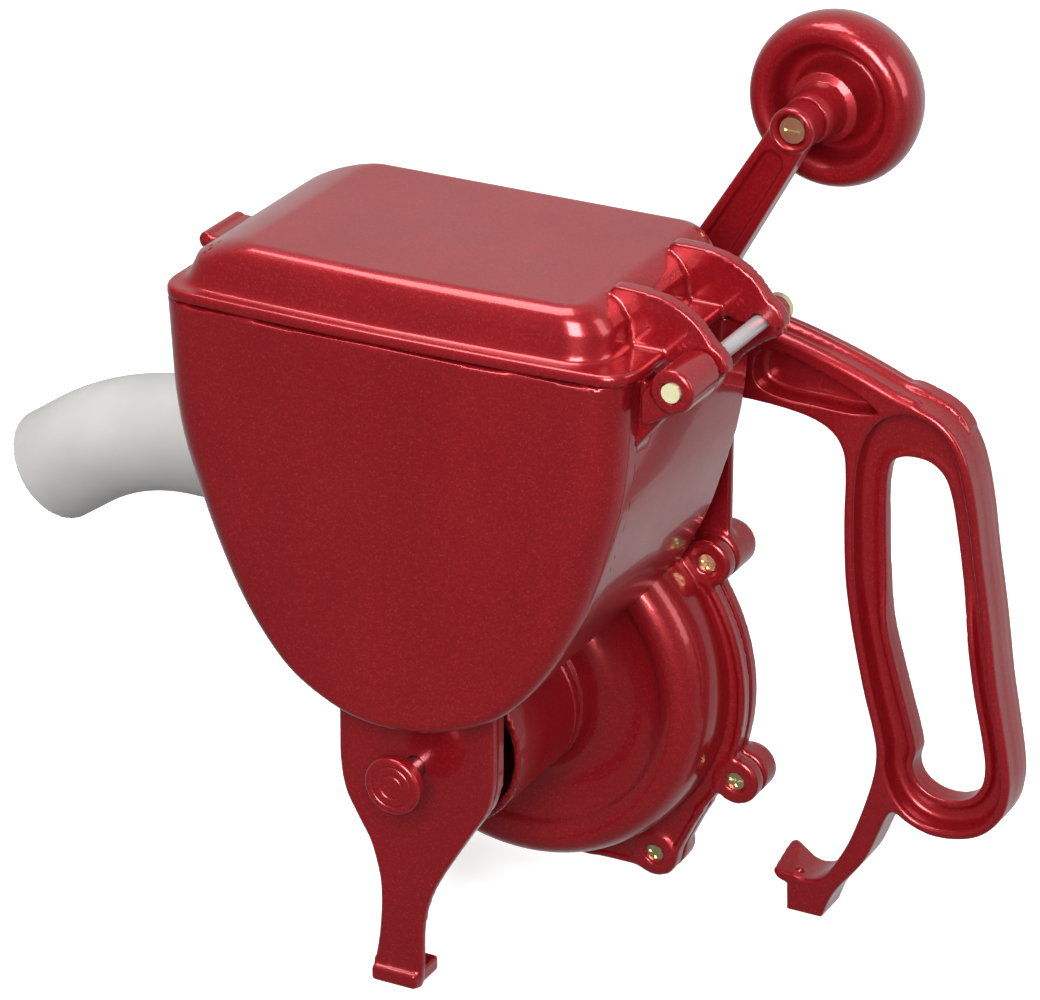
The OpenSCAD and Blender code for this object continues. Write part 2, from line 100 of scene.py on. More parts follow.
def crom(pts, n=6, closed=True):
    """centripetal Catmull-Rom curve through the points"""
    p = np.asarray(pts, float)
    m = len(p)
    out = []
    rng = range(m) if closed else range(m - 1)
    for i in rng:
        if closed:
            a, b, c, d = p[(i - 1) % m], p[i], p[(i + 1) % m], p[(i + 2) % m]
        else:
            b, c = p[i], p[i + 1]
            a = p[i - 1] if i > 0 else 2 * b - c
            d = p[i + 2] if i + 2 < m else 2 * c - b
        t0 = 0.0
        t1 = t0 + max(np.linalg.norm(b - a), 1e-6) ** 0.5
        t2 = t1 + max(np.linalg.norm(c - b), 1e-6) ** 0.5
        t3 = t2 + max(np.linalg.norm(d - c), 1e-6) ** 0.5
        for k in range(n):
            t = t1 + (t2 - t1) * k / n
            a1 = (t1 - t) / (t1 - t0) * a + (t - t0) / (t1 - t0) * b
            a2 = (t2 - t) / (t2 - t1) * b + (t - t1) / (t2 - t1) * c
            a3 = (t3 - t) / (t3 - t2) * c + (t - t2) / (t3 - t2) * d
            b1 = (t2 - t) / (t2 - t0) * a1 + (t - t0) / (t2 - t0) * a2
            b2 = (t3 - t) / (t3 - t1) * a2 + (t - t1) / (t3 - t1) * a3
            out.append((t2 - t) / (t2 - t1) * b1 + (t - t1) / (t2 - t1) * b2)
    if not closed:
        out.append(p[-1])
    return np.array(out)

def slab2(d2, w, h, r):
    """a section d2 given a height w from its middle, half height h, edge radius r"""
    a, b = d2 + r, np.abs(w) - (h - r)
    return np.minimum(np.maximum(a, b), 0) + np.hypot(np.maximum(a, 0), np.maximum(b, 0)) - r

def ext(d2, y, y0, y1, r=0.6):
    return slab2(d2, y - (y0 + y1) / 2, (y1 - y0) / 2, r)

def smin(a, b, k):
    h = np.maximum(k - np.abs(a - b), 0) / k
    return np.minimum(a, b) - h * h * h * k / 6

def smax(a, b, k):
    return -smin(-a, -b, k)

def circ(x, z, p, r):
    return np.hypot(x - p[0], z - p[1]) - r

def box2(x, z, x0, x1, z0, z1, r=0.0):
    a = np.abs(x - (x0 + x1) / 2) - (x1 - x0) / 2 + r
    b = np.abs(z - (z0 + z1) / 2) - (z1 - z0) / 2 + r
    return np.minimum(np.maximum(a, b), 0) + np.hypot(np.maximum(a, 0), np.maximum(b, 0)) - r

def box3(x, y, z, x0, x1, y0, y1, z0, z1, r=0.6):
    return slab2(box2(x, z, x0, x1, z0, z1, min(r, (x1 - x0) / 2.01, (z1 - z0) / 2.01)), y - (y0 + y1) / 2, (y1 - y0) / 2, r)

def seg2(x, z, a, b, ra, rb):
    """tapered bar with round ends"""
    ex, ez = b[0] - a[0], b[1] - a[1]
    t = np.clip(((x - a[0]) * ex + (z - a[1]) * ez) / (ex * ex + ez * ez), 0, 1)
    return np.hypot(x - a[0] - ex * t, z - a[1] - ez * t) - (ra + (rb - ra) * t)

def hull_pts(circles, n=64):
    pts = []
    for (cx, cz), r in circles:
        a = np.arange(n) * 2 * np.pi / n
        pts += list(zip(cx + r * np.cos(a), cz + r * np.sin(a)))
    pts = sorted(set((round(a, 5), round(b, 5)) for a, b in pts))
    def half(ps):
        h = []
        for p in ps:
            while len(h) > 1 and (h[-1][0] - h[-2][0]) * (p[1] - h[-2][1]) - (h[-1][1] - h[-2][1]) * (p[0] - h[-2][0]) <= 0:
                h.pop()
            h.append(p)
        return h
    return half(pts)[:-1] + half(pts[::-1])[:-1]

# ------------------------------------------------------------------ meshing
def nets(f, lo, hi, h):
    lo = np.asarray(lo, float) - 1.5 * h
    hi = np.asarray(hi, float) + 1.5 * h
    n = np.ceil((hi - lo) / h).astype(int) + 1
    xs, ys, zs = (lo[i] + h * np.arange(n[i]) for i in range(3))
    V = f(xs[:, None, None], ys[None, :, None], zs[None, None, :])
    V = np.ascontiguousarray(np.broadcast_to(V, tuple(n)).astype(np.float32))
    V[V == 0] = 1e-5
    inn = V < 0
    cnt = np.zeros(tuple(n - 1), np.uint8)
    for a in (0, 1):
        for b in (0, 1):
            for c in (0, 1):
                cnt += inn[a:n[0] - 1 + a, b:n[1] - 1 + b, c:n[2] - 1 + c]
    act = (cnt > 0) & (cnt < 8)
    idx = np.full(act.shape, -1, np.int64)
    cells = np.argwhere(act)
    idx[act] = np.arange(len(cells))
    P = np.zeros((len(cells), 3))
    W = np.zeros(len(cells))
    corners = [(a, b, c) for a in (0, 1) for b in (0, 1) for c in (0, 1)]
    for ca in corners:
        for cb in corners:
            if sum(cb) == sum(ca) + 1 and all(q >= p for p, q in zip(ca, cb)):
                va = V[cells[:, 0] + ca[0], cells[:, 1] + ca[1], cells[:, 2] + ca[2]].astype(float)
                vb = V[cells[:, 0] + cb[0], cells[:, 1] + cb[1], cells[:, 2] + cb[2]].astype(float)
                m = (va < 0) != (vb < 0)
                t = va[m] / (va[m] - vb[m])
                A, B = np.array(ca, float), np.array(cb, float)
                P[m] += A + t[:, None] * (B - A)
                W[m] += 1
    verts = lo + h * (cells + P / W[:, None])
    faces = []
    for ax in range(3):
        o1, o2 = [(1, 2), (2, 0), (0, 1)][ax]
        sl0 = [slice(None)] * 3
        sl1 = [slice(None)] * 3
        sl0[ax], sl1[ax] = slice(0, -1), slice(1, None)
        ch = inn[tuple(sl0)] != inn[tuple(sl1)]
        e = np.argwhere(ch)
        e = e[(e[:, o1] > 0) & (e[:, o2] > 0) & (e[:, o1] < n[o1] - 1) & (e[:, o2] < n[o2] - 1)]
        def cell(d1, d2):
            c = e.copy()
            c[:, o1] -= d1
            c[:, o2] -= d2
            return idx[c[:, 0], c[:, 1], c[:, 2]]
        q = np.stack([cell(1, 1), cell(0, 1), cell(0, 0), cell(1, 0)], 1)
        flip = ~inn[e[:, 0], e[:, 1], e[:, 2]]
        q[flip] = q[flip][:, ::-1]
        faces.append(q)
    faces = np.concatenate(faces)
    return verts, faces[(faces >= 0).all(1)]

def grad(f, p, e):
    g = np.empty_like(p)
    for i in range(3):
        a, b = p.copy(), p.copy()
        a[:, i] += e
        b[:, i] -= e
        g[:, i] = (f(a[:, 0], a[:, 1], a[:, 2]) - f(b[:, 0], b[:, 1], b[:, 2])) / (2 * e)
    return g

def solid(name, f, lo, hi, h, body, replaces, mat, proj=2):
    h = h * FINE
    v, q = nets(f, lo, hi, h)
    for it in range(proj):
        d = f(v[:, 0], v[:, 1], v[:, 2])
        g = grad(f, v, 0.05)
        s = d / np.maximum((g * g).sum(1), 0.25)
        v = v - g * np.clip(s, -0.5 * h, 0.5 * h)[:, None]
    g = grad(f, v, 0.12)
    g /= np.maximum(np.linalg.norm(g, axis=1), 1e-9)[:, None]
    me = bpy.data.meshes.new(name)
    w = (v + OFF) / 1000.0
    me.vertices.add(len(w))
    me.vertices.foreach_set("co", w.astype(np.float32).ravel())
    me.loops.add(q.size)
    me.loops.foreach_set("vertex_index", q.astype(np.int32).ravel())
    me.polygons.add(len(q))
    me.polygons.foreach_set("loop_start", np.arange(0, q.size, 4, dtype=np.int32))
    me.update(calc_edges=True)
    me.validate()
    me.polygons.foreach_set("use_smooth", np.ones(len(me.polygons), bool))
    me.materials.append(mat)
    if len(me.vertices) == len(g):
        me.normals_split_custom_set_from_vertices(g.tolist())
    me.update()
    o = bpy.data.objects.new(name, me)
    bpy.context.scene.collection.objects.link(o)
    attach(o, body)
    if replaces:
        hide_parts(*replaces)
    print(name, len(v), "verts")
    return o

# ------------------------------------------------------------------ materials
def node(nt, kind, **kw):
    n = nt.nodes.new(kind)
    for k, v in kw.items():
        setattr(n, k, v)
    return n

def noise(nt, co, scale, detail=3.0, rough=0.5, stretch=None):
    n = node(nt, "ShaderNodeTexNoise")
    n.inputs["Scale"].default_value = scale
    n.inputs["Detail"].default_value = detail
    n.inputs["Roughness"].default_value = rough
    if stretch:
        m = node(nt, "ShaderNodeMapping")
        m.inputs["Scale"].default_value = stretch
        nt.links.new(co, m.inputs["Vector"])
        co = m.outputs["Vector"]
    nt.links.new(co, n.inputs["Vector"])
    return n.outputs["Fac"]

def ramp(nt, fac, stops):
    r = node(nt, "ShaderNodeValToRGB")
    e = r.color_ramp.elements
    while len(e) < len(stops):
        e.new(0.5)
    for el, (p, c) in zip(e, stops):
        el.position = p
        el.color = (c, c, c, 1) if isinstance(c, (int, float)) else (*c, 1)
    nt.links.new(fac, r.inputs["Fac"])
    return r.outputs["Color"]

def spread(nt, fac, a, b, lo=0.3, hi=0.7):
    m = node(nt, "ShaderNodeMapRange")
    m.inputs["From Min"].default_value = lo
    m.inputs["From Max"].default_value = hi
    m.inputs["To Min"].default_value = a
    m.inputs["To Max"].default_value = b
    nt.links.new(fac, m.inputs["Value"])
    return m.outputs["Result"]

def bump(nt, bsdf, layers):
    prev = None
    for fac, strength, dist in layers:
        b = node(nt, "ShaderNodeBump")
        b.inputs["Strength"].default_value = strength
        b.inputs["Distance"].default_value = dist
        nt.links.new(fac, b.inputs["Height"])
        if prev:
            nt.links.new(prev, b.inputs["Normal"])
        prev = b.outputs["Normal"]
    nt.links.new(prev, bsdf.inputs["Normal"])

def new_mat(name):
    m = bpy.data.materials.new(name)
    m.use_nodes = True
    nt = m.node_tree
    b = nt.nodes.get("Principled BSDF")
    co = node(nt, "ShaderNodeTexCoord").outputs["Object"]
    return m, nt, b, co

def red_plastic():
    """dark red moulded plastic with a fine metallic flake and a satin gloss"""
    m, nt, b, co = new_mat("red_flake_plastic")
    cloud = noise(nt, co, 26, 3, 0.5)
    v = node(nt, "ShaderNodeTexVoronoi")
    v.inputs["Scale"].default_value = 2600
    nt.links.new(co, v.inputs["Vector"])
    sep = node(nt, "ShaderNodeSeparateColor")
    nt.links.new(v.outputs["Color"], sep.inputs["Color"])
    flake = ramp(nt, sep.outputs["Red"], [(0.0, (0.29, 0.0060, 0.0110)), (0.6, (0.33, 0.0078, 0.0135)), (0.9, (0.37, 0.0105, 0.017)), (1.0, (0.44, 0.022, 0.030))])
    flow = noise(nt, co, 40, 2, 0.5, (1.0, 1.0, 0.25))
    tint = ramp(nt, flow, [(0.3, (0.90, 0.86, 0.88)), (0.7, (1.0, 1.0, 1.0))])
    mix = node(nt, "ShaderNodeMix", data_type="RGBA", blend_type="MULTIPLY")
    mix.inputs[0].default_value = 1.0
    nt.links.new(flake, mix.inputs[6])
    nt.links.new(tint, mix.inputs[7])
    nt.links.new(mix.outputs[2], b.inputs["Base Color"])
    b.inputs["Metallic"].default_value = 0.5
    b.inputs["Specular IOR Level"].default_value = 0.5
    b.inputs["IOR"].default_value = 1.5
    b.inputs["Coat Weight"].default_value = 0.55
    b.inputs["Coat Roughness"].default_value = 0.07
    nt.links.new(spread(nt, cloud, 0.25, 0.36), b.inputs["Roughness"])
    bump(nt, b, [(noise(nt, co, 900, 2, 0.6), 0.05, 0.00008), (cloud, 0.05, 0.0012)])
    return m

def grey_plastic():
    m, nt, b, co = new_mat("grey_nozzle_plastic")
    cloud = noise(nt, co, 30, 4, 0.55)
    nt.links.new(ramp(nt, cloud, [(0.25, (0.40, 0.395, 0.378)), (0.55, (0.452, 0.445, 0.43)), (0.8, (0.482, 0.475, 0.457))]), b.inputs["Base Color"])
    b.inputs["Specular IOR Level"].default_value = 0.45
    b.inputs["Subsurface Weight"].default_value = 0.06
    b.inputs["Subsurface Scale"].default_value = 0.004
    nt.links.new(spread(nt, noise(nt, co, 70, 3, 0.6), 0.34, 0.48), b.inputs["Roughness"])
    bump(nt, b, [(noise(nt, co, 1100, 2, 0.6), 0.06, 0.00006), (noise(nt, co, 60, 2, 0.5, (0.3, 1, 1)), 0.05, 0.0006)])
    return m

def metal(name, lo, hi, r0, r1, stretch, scale=260, aniso=0.0):
    m, nt, b, co = new_mat(name)
    grain = noise(nt, co, scale, 4, 0.65, stretch)
    nt.links.new(ramp(nt, grain, [(0.25, lo), (0.75, hi)]), b.inputs["Base Color"])
    b.inputs["Metallic"].default_value = 1.0
    b.inputs["Anisotropic"].default_value = aniso
    nt.links.new(spread(nt, noise(nt, co, scale * 0.4, 3, 0.6), r0, r1), b.inputs["Roughness"])
    bump(nt, b, [(grain, 0.12, 0.00005)])
    return m

def dull(name, lo, hi, r0, r1, spec=0.4, fine=900):
    m, nt, b, co = new_mat(name)
    cloud = noise(nt, co, 45, 4, 0.55)
    nt.links.new(ramp(nt, cloud, [(0.3, lo), (0.7, hi)]), b.inputs["Base Color"])
    b.inputs["Specular IOR Level"].default_value = spec
    nt.links.new(spread(nt, noise(nt, co, 120, 3, 0.6), r0, r1), b.inputs["Roughness"])
    bump(nt, b, [(noise(nt, co, fine, 2, 0.6), 0.12, 0.00006)])
    return m

RED = red_plastic()
GREY = grey_plastic()
STEEL = metal("bare_steel", (0.42, 0.42, 0.43), (0.60, 0.60, 0.60), 0.20, 0.34, (1, 0.08, 1))
ZINC = metal("zinc_plate", (0.78, 0.74, 0.42), (0.90, 0.87, 0.58), 0.24, 0.38, (1, 1, 1))
BRONZE = metal("sintered_bronze", (0.40, 0.23, 0.09), (0.56, 0.35, 0.15), 0.35, 0.50, (1, 1, 1), 500)
NYLON = dull("gear_nylon", (0.68, 0.65, 0.55), (0.78, 0.75, 0.66), 0.38, 0.5)
RUBBER = dull("seal_rubber", (0.012, 0.012, 0.013), (0.028, 0.028, 0.03), 0.62, 0.8, 0.3)
FAN = dull("fan_plastic", (0.055, 0.055, 0.058), (0.085, 0.085, 0.09), 0.36, 0.5)

# ------------------------------------------------------------------ hopper
U = [(-73, 3), (-73, -2), (-72, -14), (-71, -30), (-69, -44), (-64.5, -60), (-59.5, -75), (-52, -90), (-44.5, -100.5), (-36.5, -108.2), (-27, -113.6), (-14, -118), (0, -119.5)]
# the left side of the moulding stands out a little more at the rim and is fuller below on the right
UL = [(-75, 3), (-74.6, -2), (-73.9, -14), (-72.8, -30), (-70.2, -44), (-64.6, -60), (-57.6, -75), (-48.6, -90), (-40.2, -100.5), (-32.2, -108.2), (-23.4, -113.6), (-12, -118), (0, -119.5)]
U = crom(UL + [(-x, z) for x, z in U[-2::-1]], 6, closed=False)
u_out = poly(np.vstack([U, [(73, 12), (-75, 12)]]))
BOW = 1.9

def bow(x):
    return BOW * np.clip(np.abs(x) / 73.0, 0, 1.2) ** 2 + 1.0 * np.clip(np.abs(x + 3.1) / 73.0, 0, 1.2)

def u_front(x, y, z, off, y0, y1):
    """the cover's solid: the U with a soft front edge, wide at the sides and tight at the bottom"""
    d = u_out(x, z) + off
    t = np.clip((z + 118) / 70.0, 0, 1)
    r = 3.2 + (11.0 - 3.2) * t * t * (3 - 2 * t)
    w = (y0 + bow(x)) - y
    a, b = d + r, w + r
    f = np.minimum(np.maximum(a, b), 0) + np.hypot(np.maximum(a, 0), np.maximum(b, 0)) - r
    return np.maximum(f, y - y1)

LEG = [(-22, -100), (-22, -100), (-22, -127), (-22, -139.5), (-20.3, -149.5), (-16.2, -157.5), (-12.3, -164.5), (-10.3, -171), (-9.1, -177), (-8.8, -184), (-9.2, -191), (-10, -198), (-11.2, -205), (-11.5, -210.5), (-11.5, -210.5),
       (3.5, -210.5), (3.5, -210.5), (4.6, -203.6), (4.7, -195), (5.5, -186.5), (7.6, -179), (10.9, -172), (15.6, -164), (21, -155), (26.2, -146.5), (28.4, -138), (28.7, -128), (28.7, -100), (28.7, -100)]
leg2 = poly(crom(LEG, 5))

def front_cover(x, y, z):
    o = u_front(x, y, z, 0.0, 0.0, 18.0)
    c = u_front(x, y, z, 2.5, 2.5, 30.0)
    shell = smax(o, -c, 0.6)
    top = np.maximum(z + 0.4, 0) + np.minimum(z + 0.4, 0)
    shell = smax(shell, top, 0.8)
    lip = smax(u_front(x, y, z, 1.2, 1.4, 9.0), -u_front(x, y, z, 3.4, 3.6, 30.0), 0.5)
    lip = np.maximum(lip, np.abs(z + 3.0) - 2.7)
    f = smin(shell, lip, 0.8)
    # leg: a flat plate with a flange turned back along both edges
    l2 = leg2(x, z)
    plate = ext(l2, y, 13.0, 16.0, 0.9)
    deep = 21.0 - 5.3 * np.clip((-142 - z) / 34.0, 0, 1)
    rib = np.maximum(ext(np.maximum(l2, -(l2 + 2.2)), y, 14.0, 26.0, 0.8), y - deep)
    legs = smin(plate, rib, 1.4)
    legs = np.maximum(legs, -(u_out(x, z) + 1.0))
    legs = smin(legs, box3(x, y, z, -11.5, 3.5, 11.2, 26.0, -210.5, -205.6, 1.0), 1.6)
    legs = smin(legs, ext(circ(x, z, F, 7.0), y, 15, 22, 0.5), 1.5)
    tab = box3(x, y, z, -11.5, -6.0, 13.0, 19.0, -210.5, -203.5, 0.8)
    legs = smin(legs, tab, 1.0)
    f = smin(f, legs, 1.5)
    f = np.maximum(f, -(circ(x, z, F, 3.05)))
    return f

BP = [(0, 26), (26, 26), (26, 70.5), (29, 76.5), (34, 79), (40, 78), (46.5, 77), (52, 79), (57, 83), (60, 89), (61, 97), (61, 98), (0, 98)]
VO = [(26, 64), (26, 64), (26, 71), (27.2, 76), (30.4, 79.3), (35.5, 80.6), (40.5, 80.5), (44.6, 79.6), (46.9, 78.3), (46.9, 78.3), (48.6, 76.5), (51.2, 75.2), (54.2, 75.2), (57.2, 77.0), (59.6, 80.8), (60.9, 86.2), (61.2, 92), (61.3, 98), (61.3, 98)]
VO = crom(VO, 5, closed=False)
vol_out = poly(np.vstack([[(0, 64)], VO, [(61.3, 99), (0, 99)]]))
VI = [(23.4, 58), (23.4, 58), (23.4, 72.5), (26, 79.5), (30.5, 82.7), (36, 83.4), (43.5, 83.1), (48.4, 80.9), (51.3, 78.3), (54, 78.0), (56.1, 79.8), (57.8, 84), (58.2, 91), (57.5, 97), (57.5, 103), (57.5, 103)]
vol_in = poly(np.vstack([[(0, 58)], crom(VI, 5, closed=False), [(0, 103)]]))

def blower_keep(x, y, z, off):
    r = np.hypot(x - F[0], z - F[1])
    return np.maximum(vol_out(r, y) - off, 65.5 - y)

def duct(x, y, z, r, x0, x1):
    d = np.hypot(y - TY, z - TZ) - r
    return np.maximum(d, np.maximum(x0 - x, x - x1))

WEB = poly([(70, -24), (70, -3.2), (78, -1.5), (82, 3.6), (90.5, -4.6), (85.5, -7.5), (79, -13), (73.5, -20)])
EAR = [(76, -12), (76, -12), (76, -2.5), (79, 1.5), (81.5, 4.5), (85, 6.6), (89.5, 6.2), (92.6, 2.6), (93, -1.2), (91.2, -4.8), (87.5, -6.6), (82, -10)]

def hopper_body(x, y, z):
    u = u_out(x, z)
    o = u + 0.6
    yb = 94.0 - y
    r = 3.5
    a, b = o + r, -yb + r
    out = np.minimum(np.maximum(a, b), 0) + np.hypot(np.maximum(a, 0), np.maximum(b, 0)) - r
    out = np.maximum(out, 18.05 - y)
    inn = slab2(u + 3.1, y - 50.0, 41.5, 2.0)
    f = smax(out, -inn, 0.5)
    f = smax(f, z + 0.4, 0.6)
    # webs and bosses that carry the hinge pin
    for y0, y1 in ((8.0, 26.0), (70.0, 76.0)):
        lo = max(y0, 10.0)
        boss = ext(circ(x, z, PN, 6.5 if y0 < 50 else 5.2), y, y0, y1 if y0 < 50 else y1 - 0.6, 1.2)
        web = ext(WEB(x, z), y, max(lo, 18.2), y1, 0.8)
        arm = ext(poly([(76.2, -12.5), (76.2, -2.5), (82, 3.6), (90.5, -4.6), (85.5, -7.5)])(x, z), y, lo, y1, 0.8)
        f = smin(f, smin(smin(boss, web, 2.5), arm, 1.5), 2.0)
    f = np.maximum(f, -(np.hypot(x - PN[0], z - PN[1]) - 2.42))
    f = np.maximum(f, -np.maximum(circ(x, z, PN, 2.95), y - 9.4))
    f = np.maximum(f, -blower_keep(x, y, z, 0.12))
    f = np.maximum(f, -duct(x, y, z, 19.1, -60, 1))
    f = np.maximum(f, -duct(x, y, z, 16.5, -95, -50))
    f = np.maximum(f, -box3(x, y, z, F[0] - 7, F[0] + 7, 34, 43, -126, -112, 0.5))
    f = np.maximum(f, -np.maximum(circ(x, z, K, 6.05), 88 - y))
    return f

FLP = poly([(-36, -201.3), (45, -201.3), (56, -178), (0, -150), (-47, -178)])
def flange2(x, z):
    return smin(np.maximum(circ(x, z, FL, 65.0), -201.4 - z), FLP(x, z), 3.0)

def blower_housing(x, y, z):
    r = np.hypot(x - F[0], z - F[1])
    vol = np.maximum(vol_out(r, y), 64.5 - y)
    body = smin(np.maximum(r - 26.0, np.maximum(29 - y, y - 76)), vol, 2.0)
    body = np.maximum(body, -np.maximum(u_out(x, z) - 0.1, y - 65.6))
    ring = np.hypot(r - 26.3, y - 67.8) - 1.0
    body = smax(body, -ring, 0.5)
    fl = ext(flange2(x, z), y, 97.0, 101.6, 0.7)
    lip = ext(np.maximum(flange2(x, z), -(flange2(x, z) + 1.9)), y, 96.1, 98.5, 0.7)
    fl = smin(fl, lip, 0.7)
    f = smin(body, fl, 2.2)
    for p in LUGS:
        q = np.array(p)
        c = np.array([FL[0], FL[1]])
        u = (q - c) / np.linalg.norm(q - c)
        b = ext(circ(x, z, p, 7.5), y, 96.0, 101.6, 1.3)
        w = ext(seg2(x, z, tuple(q), tuple(q - u * 10), 6.6, 7.6), y, 97.0, 101.6, 0.8)
        f = smin(f, smin(b, w, 1.2), 2.2)
    dt = np.maximum(duct(x, y, z, 19.0, -57.5, -2), 70 - y)
    f = smin(f, dt, 3.0)
    f = np.maximum(f, y - 101.6)
    f = np.maximum(f, -vol_in(r, y))
    f = smax(f, -np.maximum(r - 23.5, y - 73), 0.5)
    dv = np.maximum(np.hypot(y - TY, z - TZ) - 14.0, np.maximum(-60 - x, x + 2))
    f = np.maximum(f, -dv)
    f = np.maximum(f, -np.maximum(np.hypot(y - TY, z - TZ) - 16.48, np.maximum(-62 - x, x + 40)))
    for p in LUGS:
        f = smax(f, -ext(circ(x, z, p, 2.9), y, 88, 99.5, 0.3), 1.1)
        f = np.maximum(f, -circ(x, z, p, 1.8))
    return f

BPL = poly(crom([(-31, -112), (-31, -112), (-31, -34), (-29, -28.5), (-18.5, -18), (-12, -14), (-12, -14), (54, -14), (54, -14), (58.6, -16), (60.3, -20), (60.3, -20), (60.3, -96), (60.3, -96), (50, -112), (50, -112)], 4))
BPI = poly([(-28, -142), (-28, -31), (-12, -16.5), (70, -16.5), (70, -142)])
CH = poly(hull_pts([(K, 37), (I, 30.5), (F, 16)], 96))

def rear_casing(x, y, z):
    fl = ext(flange2(x, z), y, 102.4, 107.0, 0.9)
    bp = ext(BPL(x, z), y, 104.0, 107.0, 0.6)
    rim = ext(smax(BPL(x, z), -BPI(x, z), 0.5), y, 98.0, 105.0, 0.8)
    rim = np.maximum(rim, -(circ(x, z, FL, 65.4)))
    for p in LUGS:
        rim = np.maximum(rim, -circ(x, z, p, 7.9))
    rim = np.maximum(rim, -np.maximum(np.abs(z - TZ) - 19.4, np.maximum(-60 - x, x - 1)))
    f = smin(smin(fl, bp, 2.0), rim, 0.8)
    for p in LUGS:
        f = smin(f, ext(circ(x, z, p, 7.5), y, 102.4, 116.0 if p == LUGS[0] else 111.0, 1.2), 3.0)
    c = CH(x, z)
    wall = ext(np.maximum(c, -(c + 2.5)), y, 106.0, 123.0, 0.5)
    f = smin(f, wall, 2.0)
    f = smin(f, ext(circ(x, z, K, 10), y, 104, 109, 0.4), 0.6)
    f = smin(f, ext(circ(x, z, I, 6), y, 106, 109, 0.4), 0.6)
    f = smin(f, ext(circ(x, z, F, 8.5), y, 100.8, 108.9, 0.4), 0.4)
    for p in COV:
        f = smin(f, ext(circ(x, z, p, 4.5), y, 106, 123, 0.4), 1.2)
    dt = np.maximum(duct(x, y, z, 19.0, -57.5, -6), 102.4 - y)
    f = smin(f, dt, 2.5)
    foot = smin(box3(x, y, z, -48, -33, 104, 118, -210.5, -192.5, 1.4), box3(x, y, z, -46, -34, 104, 110, -200.5, -184.5, 1.2), 2.5)
    f = smin(f, foot, 2.0)
    f = np.maximum(f, 98.0 - y)
    cut = np.maximum(np.maximum(circ(x, z, F, 57.5), np.abs(y - 100) - 4.0), -(circ(x, z, F, 8.5)))
    f = np.maximum(f, -cut)
    f = np.maximum(f, -np.maximum(np.hypot(y - TY, z - TZ) - 14.0, np.maximum(-62 - x, x + 2)))
    f = np.maximum(f, -np.maximum(np.hypot(y - TY, z - TZ) - 16.48, np.maximum(-62 - x, x + 40)))
    for p, r, a, b in [(K, 6.05, 95, 111), (I, 2.55, 104.9, 112), (F, 5.05, 95, 111)]:
        f = np.maximum(f, -np.maximum(circ(x, z, p, r), np.maximum(a - y, y - b)))
    for p in COV:
        f = np.maximum(f, -np.maximum(circ(x, z, p, 1.55), 111 - y))
    for p in HS:
        f = np.maximum(f, -circ(x, z, p, 2.05))
    for p in LUGS:
        f = np.maximum(f, -np.maximum(circ(x, z, p, 1.8), y - 109.3))
    # the handle's arm is screwed on over the back plate
    return f

def _p(c, r, a):
    return (c[0] + r * math.cos(math.radians(a)), c[1] + r * math.sin(math.radians(a)))
COV = [_p(K, 39, 35), _p(K, 39, 145), _p(I, 33, -38), _p(I, 33, 212)]
HS = [(46, -26), (56, -36)]

def gear_cover(x, y, z):
    c = CH(x, z)
    f = ext(c, y, 123.02, 126.0, 1.1)
    rib = ext(np.abs(c + 5.5) - 0.9, y, 125, 126.4, 0.5)
    f = smin(f, rib, 0.8)
    f = smin(f, ext(circ(x, z, K, 10), y, 124, 131, 1.0), 2.5)
    f = smin(f, ext(circ(x, z, F, 8.5), y, 124, 127.5, 0.8), 2.0)
    f = smin(f, ext(circ(x, z, F, 8.5), y, 118, 124, 0.4), 0.6)
    f = smin(f, ext(circ(x, z, I, 5), y, 122, 126.8, 0.8), 1.5)
    for p, r, a, b in [(K, 6.05, 119, 133), (F, 5.05, 116, 125.5), (I, 2.55, 119, 124.5)]:
        f = np.maximum(f, -np.maximum(circ(x, z, p, r), np.maximum(a - y, y - b)))
    for p in COV:
        f = np.maximum(f, -circ(x, z, p, 2.0))
    return f

# ------------------------------------------------------------------ lid
def rrect(x, y, x0, x1, y0, y1, r):
    return box2(x, y, x0, x1, y0, y1, r)

def dome(x, y, z, g):
    """the dome's stack of rounded rectangles, g inside the outer skin"""
    t = np.clip((z - 3.7) / 14.3, 0, 1)
    k = np.where(z < 11, np.clip((z - 3.7) / 7.3, 0, 1), 1.0)
    s = np.clip((z - 11) / 7.0, 0, 1)
    x0 = -71 + 3.3 * k + 14.0 * s ** 1.25 + g
    x1 = 65 - 0.6 * k - 4.4 * s - g
    y0 = 4.7 + 1.3 * k + 2.0 * s + g + bow(x) * 0.9
    y1 = 91.6 - 1.0 * k - 1.2 * s - g
    r = np.clip(11.0 - 2.0 * s - g * 0.6, 4, 12)
    a = np.abs(x - (x0 + x1) / 2) - (x1 - x0) / 2 + r
    b = np.abs(y - (y0 + y1) / 2) - (y1 - y0) / 2 + r
    return np.minimum(np.maximum(a, b), 0) + np.hypot(np.maximum(a, 0), np.maximum(b, 0)) - r

EO = [(58, 17.3), (58, 17.3), (59, 19.7), (64, 19.95), (69, 19.6), (74.5, 18.7), (80, 16.6), (84.5, 13.6), (88, 9.6), (90.6, 5.6), (92, 2), (92.3, -1.2), (91, -4.3), (87.6, -6.3), (84, -5.8), (81.2, -3.6), (80, -0.5), (76.5, 0.7), (70, 0.4), (62, 0.6), (58, 2), (58, 2)]
ear2 = poly(crom(EO, 4))

